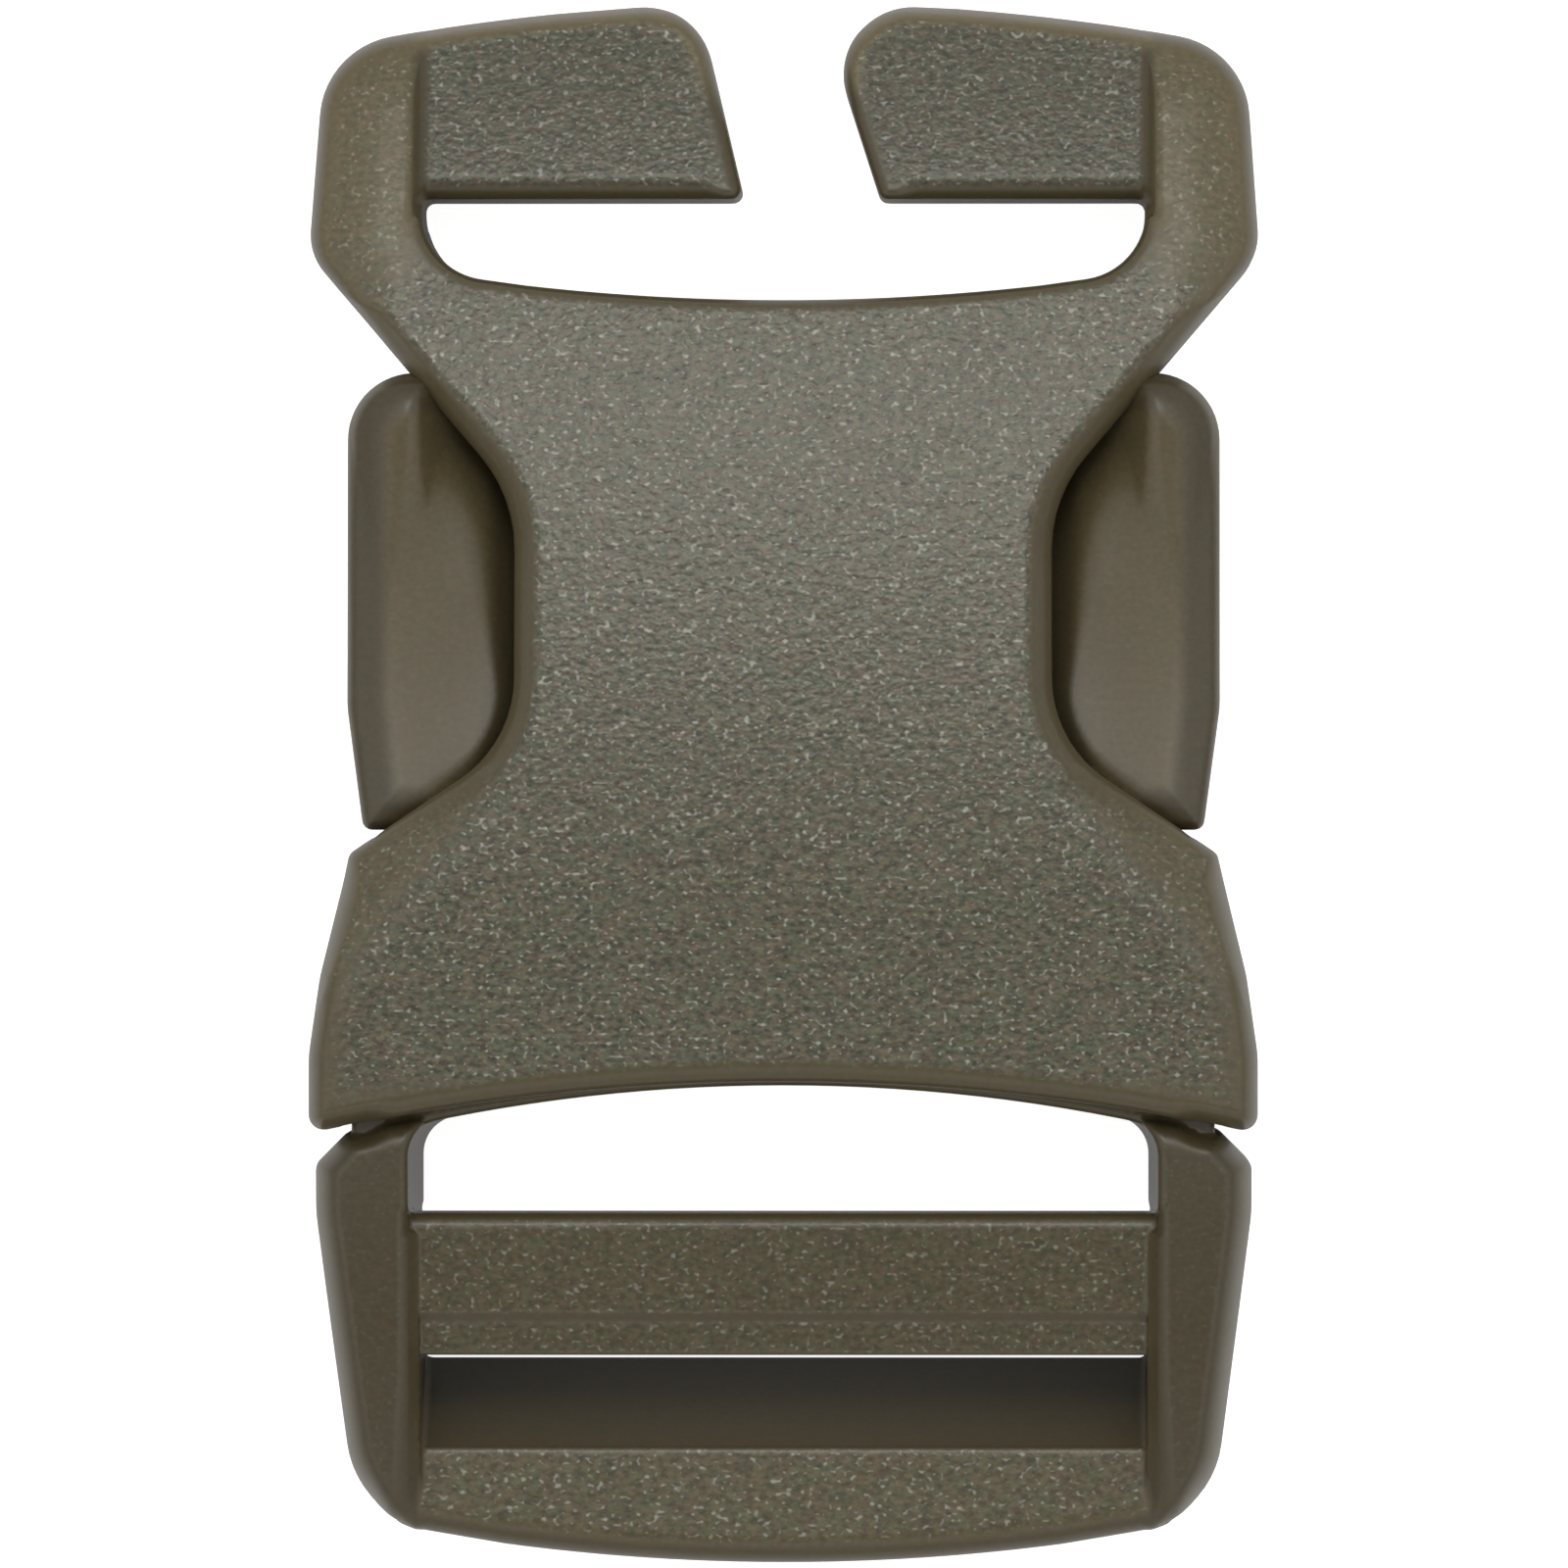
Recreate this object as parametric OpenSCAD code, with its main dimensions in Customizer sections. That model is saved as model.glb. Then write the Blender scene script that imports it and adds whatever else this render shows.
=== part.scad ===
// Side release buckle for webbing: a socket with a split webbing bar, and a plug with a ladder bar.
// It lies on its back. +Z is out of the face, +Y points to the split bar, and the origin is
// the middle of the back.

/* [Webbing] */
// Width of the webbing that the buckle joins
webbing_w = 25; // [20:0.5:32]
// Room beside the webbing in each slot, both sides together
webbing_play = 1; // [0.4:0.1:2]

/* [Fit] */
// Gap between the plug and the socket
fit = 0.25; // [0.15:0.05:0.4]
// Depth of the flared lead-in at the mouth
lead_in = 2.3; // [0.6:0.1:2.6]
// How far the plug's tunnel is wider than the webbing slot, on each side
tunnel_more = 0.4; // [0.2:0.05:1]

/* [Thickness] */
// Thickness of the socket at its mouth
mouth_t = 11; // [9.5:0.1:13]
// Thickness of the front and back plates of the socket
wall = 1.8; // [1.2:0.1:2.2]
// Radius of the arch of the socket's face along its length
arch_r = 100; // [85:1:200]
// Distance from the lip to the crown of that arch
crown_in = 5.6; // [3:0.1:8]
// Thickness of the plug at its shoulders
shoulder_t = 9.8; // [9:0.1:11]
// Radius of the arch of the plug's rails along their length
tail_arch_r = 50; // [45:1:120]

/* [Socket plan] */
// Width of each side rail beside the webbing slot
rail_w = 4.1; // [3:0.05:6]
// Width of the split webbing bar along the buckle
bar_h = 7.25; // [5.5:0.05:9]
// Height of the webbing slot at its middle
slot_h = 3.65; // [2.5:0.05:5]
// Length of the plate from the webbing slot to the lip, at the middle
plate_l = 28; // [27:0.05:31]
// Width of the plate at its waist
waist_w = 19.25; // [17:0.05:21]
// Distance from the webbing slot's middle to the waist's upper corners
waist_top = 7.05; // [6:0.05:8]
// Length of the straight waist
waist_l = 8.85; // [8:0.05:10]
// Drop of the widest point of the rails below the slot's upper edge
hip_drop = 1.95; // [1:0.05:2.4]
// How far each rail's outer edge draws in from there to its upper corner
hip_in = 0.5; // [0.2:0.05:1.2]
// How far the mouth's outer faces stand inside the rails' widest points
mouth_in = 0.1; // [0:0.05:0.5]
// How far the mouth's upper shoulder stands inside its lower one
shoulder_in = 1.45; // [0.8:0.05:2]
// Distance from the lip to the mouth's upper shoulders
mouth_l = 8.15; // [7:0.05:8.6]
// Length of the mouth's outer face that runs straight, from the lip
mouth_straight = 0.95; // [0.5:0.05:2]
// Height of the button's catch above the mouth's upper shoulders
catch_rise = 0.6; // [0.3:0.05:1]

/* [Split bar] */
// Width of the gap between the two arms, at the middle of the bar
split_w = 4.6; // [3:0.1:6]
// Slant of that gap, in degrees
split_slant = 15.6; // [0:0.1:25]
// Angle by which each side of the gap opens towards the slot
split_flare = 2.3; // [0:0.1:5]
// Step from the rails down to the bar's face
bar_drop = 0.7; // [0.3:0.05:1.2]
// Height of the bar's underside above the back
bar_lift = 0.9; // [0.5:0.05:1.5]
// How far the steps at both ends of the bars cut into the rails
step_in = 0.2; // [0.1:0.05:0.5]

/* [Shoulder slopes] */
// Depth of the sloping shoulders at the mouth's upper corners
slope_drop = 1.3; // [0.6:0.05:1.5]
// Width over which the slope falls by that depth
slope_w = 2.2; // [1.5:0.1:3]
// Distance of the crease's upper end outside the waist
crease_out = 0.6; // [0.5:0.05:1.5]
// Height of the crease's upper end above the mouth's upper shoulders
crease_rise = 2.5; // [2:0.05:3]
// Distance of the crease's lower end inside the mouth's outer face
crease_in = 0.8; // [0.3:0.05:1]
// Depth of the crease's lower end below the mouth's upper shoulders
crease_fall = 4.7; // [3:0.05:5.5]

/* [Release buttons] */
// How far the buttons stand outside the mouth's tunnel on each side
button_out = 2.25; // [1.5:0.05:2.5]
// Length of the buttons
button_l = 16.4; // [15:0.05:16.8]
// Width of the raised ridge along each button's outer edge
ridge_w = 2.55; // [1.5:0.05:3]
// Depth of the finger hollow inboard of that ridge
dish_d = 1.1; // [0.5:0.05:1.4]
// Radius of the finger hollow along the button
dish_r = 34; // [30:1:60]
// Width of the buttons, with the part that is under the plate
button_w = 6.5; // [6:0.05:7]
// Length of the taper towards each button's catch
taper_l = 4.4; // [3:0.1:6]
// How far that taper draws in
taper_in = 0.6; // [0.3:0.05:1]
// Width of the springy arms
prong_w = 2.6; // [2:0.05:3]
// Width of the guide tongue between the arms
tongue_w = 4.2; // [3:0.1:5]
// Thickness of the guide tongue
tongue_t = 3.6; // [2.5:0.1:4.5]
// Length of the guide tongue
tongue_l = 14; // [10:0.5:16]

/* [Plug plan] */
// How far the plug's rails stand inside the socket's outer faces
plug_in = 0.2; // [0:0.05:0.5]
// How much the plug's rails draw in towards the tail, on each side
tail_in = 1.4; // [0.5:0.05:2]
// Length of the plug's base bar, inside the mouth
base_l = 3.5; // [2.5:0.1:4]
// Strip of the base bar that shows under the lip, at the middle
base_show = 0.15; // [0.05:0.05:0.5]
// Height of the window between the base bar and the ladder bar, at the middle
window_h = 4.5; // [4.2:0.05:6]
// Width of the ladder bar
ladder_w = 5.25; // [4:0.05:6.5]
// Step from the plug's rails down to the ladder bar
ladder_drop = 0.8; // [0.4:0.05:1.4]
// Height of the ladder bar's underside above the back
ladder_lift = 3.8; // [3:0.05:4.5]
// Width of the ladder bar's lower grip facet
grip_w = 1.45; // [1:0.05:2]
// Step down from the ladder bar's face to that facet
grip_step = 0.35; // [0.2:0.05:0.6]
// Fall of the grip facet towards the slit
grip_fall = 0.2; // [0:0.05:0.5]
// Width of the slit between the ladder bar and the tab bar, seen from the front
slit_w = 0.2; // [0.2:0.05:0.8]
// Width of the tab bar at its middle
tab_w = 7.25; // [6:0.05:8]
// Width of the tab bar's sloping inner face
tab_slope_w = 3.25; // [2.5:0.05:3.6]
// Height of the tab bar
tab_t = 6.75; // [6.2:0.05:7.6]
// Fall of the tab bar's face towards the tail
tab_fall = 0.1; // [0:0.05:1]

/* [Long curves] */
// Radius of the long curve of the split bar's outer edge
top_bow_r = 83; // [60:1:200]
// Radius of the long curve of the webbing slot's lower edge
slot_bow_r = 81; // [60:1:200]
// Radius of the long curve of the lip
lip_bow_r = 78; // [60:1:160]
// Radius of the long curve of the base bar's edge
base_bow_r = 62; // [55:1:160]
// Radius of the long curve of the tail
tail_bow_r = 76; // [60:1:200]

/* [Corners] */
// Radius of the rails' upper outer corners
top_corner_r = 3.1; // [1.5:0.1:3.5]
// Radius of the arms' corners beside the gap
arm_r = 2.1; // [1:0.1:2.5]
// Radius of the arms' lower corners
foot_r = 0.35; // [0.2:0.05:0.6]
// Radius of the rails at their widest point
hip_r = 2.1; // [1:0.1:3]
// Radius of the waist's upper corners
waist_r = 5.2; // [3:0.1:7]
// Radius of the waist's lower corners
neck_r = 4.4; // [2:0.1:6]
// Radius of the mouth's corners
mouth_r = 0.8; // [0.4:0.05:1.2]
// Radius of the bend in the mouth's outer face
cheek_r = 4; // [2:0.5:8]
// Radius of the webbing slot's lower corners
slot_r = 2.5; // [1:0.1:3]
// Radius of the buttons' upper corners
button_r = 2.4; // [1:0.05:2.5]
// Radius of the corners of the buttons' catches
catch_r = 0.35; // [0.2:0.05:0.6]
// Radius of the bends where the buttons taper
taper_r = 3.5; // [2:0.5:5]
// Radius of the corners of the guide tongue
tongue_r = 1.5; // [0.5:0.1:2]
// Radius of the plug's upper outer corners
plug_r = 1.5; // [0.5:0.1:1.5]
// Radius of the bend in the plug's outer faces
rail_bend_r = 6; // [3:0.5:12]
// Radius of the tail's outer corners
tail_corner_r = 3.5; // [1.5:0.1:3.5]
// Radius of the upper corners of the window above the ladder bar
window_r = 1; // [0.6:0.05:1.5]

/* [Edges] */
// Width of the bevels along the rails' outer edges
bevel = 1.1; // [0.5:0.05:1.4]
// Radius of the tail's upper edge, seen from the side
tail_r = 1.2; // [0.5:0.1:2]
// Radius of the tail's lower edge, seen from the side
sole_r = 0.4; // [0.2:0.05:0.8]
// Radius of the ladder bar's lower edges, seen from the side
ladder_r = 0.6; // [0.3:0.05:1]
// Radius of the edges beside the webbing's way, seen from the side
bar_edge_r = 0.3; // [0.2:0.05:0.5]

/* [Hidden] */
olive = [0.42, 0.4, 0.35];
olive_dark = [0.36, 0.34, 0.28];
over = 1;
curve_steps = 20;

// Places along the buckle, from the split bar to the tail
total_l = bar_h + slot_h + plate_l + base_show + window_h + ladder_w + slit_w + tab_w;
top_y = total_l / 2;
bar_y = top_y - bar_h;
slot_y = bar_y - slot_h;
lip_y = slot_y - plate_l;
base_y = lip_y - base_show;
window_y = base_y - window_h;
ladder_y = window_y - ladder_w;
tab_y = ladder_y - slit_w;
tail_y = tab_y - tab_w;
crown_y = lip_y + crown_in;
hip_y = bar_y - hip_drop;
waist_y = slot_y - waist_top;

// Half widths
slot_x = (webbing_w + webbing_play) / 2;
hip_x = slot_x + rail_w;
top_x = hip_x - hip_in;
waist_x = waist_w / 2;
mouth_x = hip_x - mouth_in;
tunnel_x = slot_x + tunnel_more;
prong_x = tunnel_x - fit;
button_x = tunnel_x + button_out;
plug_x = mouth_x - plug_in;
tail_x = plug_x - tail_in;
step_x = slot_x + step_in;

// The mouth: its upper shoulders, the flare of its lead-in, and a place that is well below the lip
shoulder_x = mouth_x - shoulder_in;
shoulder_y = lip_y + mouth_l;
flare_y = lip_y - bow(tunnel_x, lip_bow_r) + lead_in;
below_y = lip_y - bow(mouth_x, lip_bow_r) - over;

// The catch on which the buttons' lower ends bear, the buttons, and the end of their room
catch_y = shoulder_y + catch_rise;
button_y = catch_y + fit;
button_top_y = button_y + button_l;
cavity_y = button_top_y + 2 * fit;
prong_z = wall + fit;
prong_t = mouth_t - 2 * prong_z;

// Where the base bar's edge meets the inner faces of the plug's rails
corner_y = base_y - bow(slot_x, base_bow_r);

// Vector helpers
function unit(v) = v / norm(v);
function flat(p) = [p[0], p[1]];
function turned(v, a) = [v[0] * cos(a) - v[1] * sin(a), v[0] * sin(a) + v[1] * cos(a)];
function mirrored(pts) = [for (i = [len(pts) - 1:-1:0]) [-pts[i][0], pts[i][1], pts[i][2]]];

// Drop of a long shallow curve of radius r, at the distance x from its middle
function bow(x, r) = r - sqrt(r * r - x * x);

// Corner points of a long shallow curve from x0 to x1, bulging down where side is 1 and up where it is -1
function bowed(x0, x1, y, r, side) =
    [for (i = [0:curve_steps]) let (x = x0 + (x1 - x0) * i / curve_steps) [x, y + side * bow(x, r), 0]];

// Share of the edge between two corners that the first may use for its rounding
function share(a, b) = a[2] / max(0.001, a[2] + b[2]);

// One corner at b between a and c, rounded with radius b[2] as far as its two edges allow
function corner(a, b, c) =
    let (u = unit(flat(a) - flat(b)), v = unit(flat(c) - flat(b)),
         inner = acos(max(-1, min(1, u * v))),
         room = 0.98 * min(norm(flat(a) - flat(b)) * share(b, a), norm(flat(c) - flat(b)) * share(b, c)),
         r = min(b[2], room * tan(inner / 2)))
    r < 0.01 || inner > 179 ? [flat(b)] :
        let (middle = flat(b) + unit(u + v) * r / sin(inner / 2),
             start = flat(b) + u * r / tan(inner / 2) - middle,
             sweep = (180 - inner) * sign(u[1] * v[0] - u[0] * v[1]),
             steps = max(2, ceil(abs(sweep) / 12)))
        [for (k = [0:steps]) middle + turned(start, sweep * k / steps)];

// An outline whose corners [x, y, r] are rounded with their radii
function rounded(pts) =
    let (n = len(pts))
    [for (i = [0:n - 1]) each corner(pts[(i + n - 1) % n], pts[i], pts[(i + 1) % n])];

// Height of the socket's face, and of the plug's rails, at the place y
function face_z(y) = mouth_t - (y > crown_y ? bow(y - crown_y, arch_r) : 0);
function rail_z(y) = shoulder_t - (y < lip_y ? bow(lip_y - y, tail_arch_r) : 0);

// Side of the gap in the split bar, at the place y: side is 1 on the right and -1 on the left
function split_x(y, side) =
    side * split_w / 2 + (bar_y + bar_h / 2 - y) * tan(split_slant + side * split_flare);

// A block with the side view pts in y and z, across the width from -x to x
module across(pts, x) {
    rotate([90, 0, 90])
        translate([0, 0, -x])
            linear_extrude(height = 2 * x)
                polygon(pts);
}

// Everything under the socket's face lowered by drop, from y0 to y1 and above the height z0
module under_face(y0, y1, drop, z0, x) {
    bend = max(y0, crown_y);
    ys = [for (i = [0:curve_steps]) bend + (y1 - bend) * i / curve_steps];
    start = y0 < crown_y ? [[y0, mouth_t - drop]] : [];
    across(concat([[y1, z0], [y0, z0]], start, [for (y = ys) [y, face_z(y) - drop]]), x);
}

// A straight bevel that takes w off both sides of the edge from p to q
module bevel_along(p, q, w) {
    d = q - p;
    l = norm(d);
    translate(p)
        rotate([0, -asin(d[2] / l), atan2(d[1], d[0])])
            rotate([45, 0, 0])
                translate([l / 2, 0, 0])
                    cube([l + 2 * over, w * sqrt(2), w * sqrt(2)], center = true);
}

// What follows, on both sides of the middle
module both_sides() {
    children();
    mirror([1, 0, 0]) children();
}

// The right flank of the socket, from the rail's upper corner round the waist to the lip's end
function flank() = [
    [top_x, top_y - bow(top_x, top_bow_r), top_corner_r],
    [hip_x, hip_y, hip_r],
    [waist_x, waist_y, waist_r],
    [waist_x, waist_y - waist_l, neck_r],
    [shoulder_x, shoulder_y, mouth_r],
    [mouth_x, lip_y + mouth_straight, cheek_r],
    [mouth_x, lip_y - bow(mouth_x, lip_bow_r), mouth_r]
];

// The inner corners beside the right arm's lower edge, from the slot's lower corner to the gap
function right_foot() = [
    [slot_x, slot_y + bow(slot_x, slot_bow_r), slot_r],
    [slot_x, bar_y, foot_r],
    [split_x(bar_y, 1), bar_y, foot_r]
];

// The inner corners beside the left arm's lower edge, from the gap to the slot's lower corner
function left_foot() = [
    [split_x(bar_y, -1), bar_y, foot_r],
    [-slot_x, bar_y, foot_r],
    [-slot_x, slot_y + bow(slot_x, slot_bow_r), slot_r]
];

// The socket's whole outline: round the outside, in through the gap and round the webbing slot
function socket_edge() =
    let (arm_x = top_x - 1.5 * top_corner_r, lip_x = mouth_x - 1.5 * mouth_r, floor_x = slot_x - 1.5 * slot_r)
    rounded(concat(
        [[split_x(top_y, 1), top_y, arm_r]],
        bowed(split_x(top_y, 1) + 2 * arm_r, arm_x, top_y, top_bow_r, -1),
        flank(),
        bowed(lip_x, -lip_x, lip_y, lip_bow_r, -1),
        mirrored(flank()),
        bowed(-arm_x, split_x(top_y, -1) - 2 * arm_r, top_y, top_bow_r, -1),
        [[split_x(top_y, -1), top_y, arm_r]],
        left_foot(),
        bowed(-floor_x, floor_x, slot_y, slot_bow_r, 1),
        right_foot()));

// The hollow that takes the plug: the tunnel, the room behind the buttons and the flared mouth
module cavity() {
    flare_x = tunnel_x + lead_in;
    under_face(below_y, cavity_y, wall, wall, tunnel_x);
    under_face(catch_y, cavity_y, wall, wall, mouth_x + over);
    translate([0, 0, wall])
        linear_extrude(height = mouth_t - 2 * wall)
            polygon([
                [-tunnel_x, flare_y + fit], [-flare_x, flare_y + fit - lead_in], [-flare_x, below_y],
                [flare_x, below_y], [flare_x, flare_y + fit - lead_in], [tunnel_x, flare_y + fit]
            ]);
}

// What the split bar lacks of the rails' thickness, over and under it
module bar_steps() {
    foot_y = bar_y - foot_r;
    difference() {
        translate([-step_x, foot_y, bar_lift])
            cube([2 * step_x, top_y + over - foot_y, mouth_t]);
        under_face(foot_y - over, top_y + 2 * over, bar_drop, 0, step_x + over);
    }
    translate([-slot_x, foot_y, -over])
        cube([2 * slot_x, top_y + over - foot_y, bar_lift + over]);
}

// The bevels along the outer edges of the right rail and of the mouth
module socket_bevels() {
    cheek = [mouth_x, lip_y + mouth_straight, mouth_t];
    bevel_along([hip_x, hip_y, face_z(hip_y)], [top_x, top_y, face_z(top_y)], bevel);
    bevel_along([mouth_x, below_y, mouth_t], cheek, bevel / 2);
    bevel_along(cheek, [shoulder_x, shoulder_y, mouth_t], bevel / 2);
}

// The slope that falls away from a crease to the mouth's right upper shoulder
module shoulder_slope() {
    start = [waist_x + crease_out, shoulder_y + crease_rise];
    end = [mouth_x - crease_in, shoulder_y - crease_fall];
    along = end - start;
    translate([start[0], start[1], face_z(start[1])])
        rotate([0, 0, atan2(along[1], along[0])])
            rotate([-atan(slope_drop / slope_w), 0, 0])
                translate([-2 * over, 0, 0])
                    cube([norm(along) + 4 * over, mouth_l, mouth_t / 2]);
}

// The female half: a hollow plate between two rails, which carry the split bar
module socket() {
    color(olive)
        difference() {
            intersection() {
                linear_extrude(height = mouth_t)
                    polygon(socket_edge());
                under_face(below_y, top_y + over, 0, 0, hip_x + over);
            }
            cavity();
            bar_steps();
            both_sides() {
                socket_bevels();
                shoulder_slope();
            }
        }
}

// The plug's right outer edge, from its shoulder to the tail's corner
function rail_edge() = [
    [plug_x, lip_y - fit - bow(plug_x, lip_bow_r), plug_r],
    [plug_x, window_y, rail_bend_r],
    [tail_x, tail_y + bow(tail_x, tail_bow_r), tail_corner_r]
];

// The plug's outline below the lip, without its inner openings
function frame_edge() =
    let (top_end = plug_x - 1.5 * plug_r, tail_end = tail_x - 1.5 * tail_corner_r)
    rounded(concat(
        bowed(-top_end, top_end, lip_y - fit, lip_bow_r, -1),
        rail_edge(),
        bowed(tail_end, -tail_end, tail_y, tail_bow_r, 1),
        mirrored(rail_edge())));

// The side view of the rails
function rail_side() =
    let (arch_end = tail_y + 1.5 * tail_r)
    rounded(concat(
        [[lip_y, 0, 0], [lip_y, shoulder_t, 0]],
        [for (i = [1:curve_steps]) let (y = lip_y + (arch_end - lip_y) * i / curve_steps) [y, rail_z(y), 0]],
        [[tail_y, rail_z(tail_y), tail_r], [tail_y, 0, 0]]));

// The two side rails, joined to the base bar by the rounded upper corners of the window
module rails() {
    between = slot_x - window_r;
    difference() {
        intersection() {
            linear_extrude(height = shoulder_t)
                polygon(frame_edge());
            across(rail_side(), plug_x + over);
        }
        translate([0, 0, -over])
            linear_extrude(height = shoulder_t + 2 * over)
                polygon(rounded([
                    [slot_x, corner_y, window_r], [slot_x, tail_y - over, 0],
                    [-slot_x, tail_y - over, 0], [-slot_x, corner_y, window_r]
                ]));
        translate([-between, window_y, -over])
            cube([2 * between, window_h + over, shoulder_t + 2 * over]);
        both_sides()
            bevel_along([tail_x, tail_y, rail_z(tail_y)], [plug_x, window_y, rail_z(window_y)], bevel / 2);
    }
}

// The right half of the base bar's outline, which widens into the rails below the mouth
function base_right() = concat(
    [
        [prong_x, base_y + base_l, 0],
        [prong_x, flare_y, 0],
        [prong_x + lead_in, flare_y - lead_in, 0],
        [prong_x + lead_in, corner_y - over, 0],
        [slot_x, corner_y, 0]
    ],
    bowed(slot_x - window_r, 0, base_y, base_bow_r, -1));

// The bar inside the mouth that carries the rails, the prongs and the tongue
module base_bar() {
    translate([0, 0, prong_z])
        linear_extrude(height = prong_t)
            polygon(rounded(concat(base_right(), [for (p = mirrored(base_right())) if (p[0] < 0) p])));
}

// The right prong seen from the front: a springy arm, with the button's catch at its outer foot
function prong_edge() = rounded([
    [prong_x, base_y + base_l - over, 0],
    [prong_x, button_y, catch_r],
    [button_x - taper_in, button_y, catch_r],
    [button_x, button_y + taper_l, taper_r],
    [button_x, button_top_y, button_r],
    [button_x - button_w, button_top_y, button_r],
    [button_x - button_w, button_y + taper_l, taper_r],
    [prong_x - prong_w, button_y - over, taper_r],
    [prong_x - prong_w, base_y + base_l - over, 0]
]);

// Place along the buckle of a line that keeps clear of the plate's upper diagonal edge, at the distance x
function plate_edge_y(x) =
    let (slope = (hip_y - waist_y) / (hip_x - waist_x))
    hip_y - (hip_x - x) * slope - fit * sqrt(1 + slope * slope);

// What the button's inboard part and its upper end lack, so that they pass under the plate
module under_plate(ridge_x) {
    difference() {
        linear_extrude(height = mouth_t)
            polygon([
                [0, crown_y], [ridge_x, crown_y], [ridge_x, plate_edge_y(ridge_x)],
                [hip_x, plate_edge_y(hip_x)], [hip_x, top_y], [0, top_y]
            ]);
        under_face(crown_y - over, top_y + over, prong_z, 0, hip_x + over);
    }
}

// The right prong, whose button is hollowed for the finger inboard of its raised ridge
module prong() {
    ridge_x = button_x - ridge_w;
    top_z = prong_z + prong_t;
    difference() {
        translate([0, 0, prong_z])
            linear_extrude(height = prong_t)
                polygon(prong_edge());
        under_plate(ridge_x);
        translate([0, button_y + button_l / 2, top_z - dish_d + dish_r])
            rotate([0, 90, 0])
                cylinder(h = ridge_x, r = dish_r, $fn = 180);
        bevel_along([ridge_x, button_top_y, top_z], [button_x, button_top_y, top_z], bevel);
        bevel_along([button_x, button_y, top_z], [button_x, button_top_y, top_z], bevel / 2);
    }
}

// The guide tongue between the prongs
module tongue() {
    x = tongue_w / 2;
    end_y = base_y + tongue_l;
    translate([0, 0, (mouth_t - tongue_t) / 2])
        linear_extrude(height = tongue_t)
            polygon(rounded([[x, base_y, 0], [x, end_y, tongue_r], [-x, end_y, tongue_r], [-x, base_y, 0]]));
}

// The ladder bar round which the webbing turns, with a grip facet along its lower edge
module ladder_bar() {
    grip_y = ladder_y + grip_w;
    grip_z = rail_z(grip_y) - ladder_drop;
    across(rounded([
        [window_y, ladder_lift, ladder_r],
        [window_y, rail_z(window_y) - ladder_drop, bar_edge_r],
        [grip_y, grip_z, 0],
        [grip_y, grip_z - grip_step, 0],
        [ladder_y, grip_z - grip_step - grip_fall, 0],
        [grip_y, ladder_lift, ladder_r]
    ]), step_x);
}

// The tab bar at the tail, with a sloping inner face that the webbing runs down
module tab_bar() {
    intersection() {
        linear_extrude(height = shoulder_t)
            polygon(frame_edge());
        across(rounded([
            [tab_y, bar_lift, 0],
            [tab_y - tab_slope_w, tab_t, bar_edge_r],
            [tail_y, tab_t - tab_fall, tail_r],
            [tail_y, bar_lift, sole_r]
        ]), step_x);
    }
}

// The male half: a base bar with two prongs and a tongue inside the socket, and a frame with two bars
module plug() {
    color(olive_dark) {
        rails();
        base_bar();
        both_sides() prong();
        tongue();
        ladder_bar();
        tab_bar();
    }
}

socket();
plug();
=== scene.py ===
"""A side release buckle of olive plastic, lying fastened on a white table."""
import math

import bpy
import numpy as np
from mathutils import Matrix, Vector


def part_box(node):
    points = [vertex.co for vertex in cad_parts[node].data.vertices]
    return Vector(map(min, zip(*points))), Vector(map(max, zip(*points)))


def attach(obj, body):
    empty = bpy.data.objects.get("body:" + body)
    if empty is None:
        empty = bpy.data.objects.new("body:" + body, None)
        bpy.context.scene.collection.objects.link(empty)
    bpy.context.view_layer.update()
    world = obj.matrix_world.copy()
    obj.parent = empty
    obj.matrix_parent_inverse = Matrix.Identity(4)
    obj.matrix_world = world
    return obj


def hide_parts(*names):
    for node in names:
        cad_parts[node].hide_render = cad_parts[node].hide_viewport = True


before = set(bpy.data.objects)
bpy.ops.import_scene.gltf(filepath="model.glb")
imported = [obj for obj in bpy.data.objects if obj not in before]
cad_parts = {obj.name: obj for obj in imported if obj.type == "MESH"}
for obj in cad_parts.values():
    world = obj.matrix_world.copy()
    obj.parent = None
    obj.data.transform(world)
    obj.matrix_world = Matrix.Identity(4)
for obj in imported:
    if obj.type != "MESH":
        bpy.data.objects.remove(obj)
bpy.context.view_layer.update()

# Lengths below are in millimetres, in the frame of the solids: x across the buckle, y towards the
# split bar, z out of the face. A mesh is brought to metres when it is made.
MM = 0.001

# The socket; a length that its source names has the same name here
WEBBING_W = 25.0
WEBBING_PLAY = 1.0
FIT = 0.25
LEAD_IN = 2.3
MOUTH_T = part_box("socket")[1].z / MM
WALL = 1.8
ARCH_R = 100.0
CROWN_IN = 5.6
RAIL_W = 4.1
BAR_H = 7.25
SLOT_H = 3.65
PLATE_L = 28.0
WAIST_W = 19.25
WAIST_TOP = 7.05
WAIST_L = 8.85
HIP_DROP = 1.95
HIP_IN = 0.5
MOUTH_IN = 0.1
SHOULDER_IN = 1.45
MOUTH_L = 8.15
MOUTH_STRAIGHT = 0.95
CATCH_RISE = 0.6
SPLIT_W = 4.6
SPLIT_SLANT = 15.6
SPLIT_FLARE = 2.3
BAR_DROP = 0.7
BAR_LIFT = 0.9
TUNNEL_MORE = 0.4
STEP_IN = 0.2
STEP_DRAFT = 0.6
CREASE_OUT = 0.6
CREASE_RISE = 2.5
CREASE_IN = 0.8
CREASE_FALL = 4.7
CREASE_TILT = math.radians(30)
BEVEL_W = 0.72
BEVEL_TILT = math.radians(52)
RAIL_SLOPE_W = 1.9
RAIL_TILT = math.radians(23)

# How much steeper than round the outer rims of both mouldings are
RIM_STEEPER = 1.8

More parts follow.
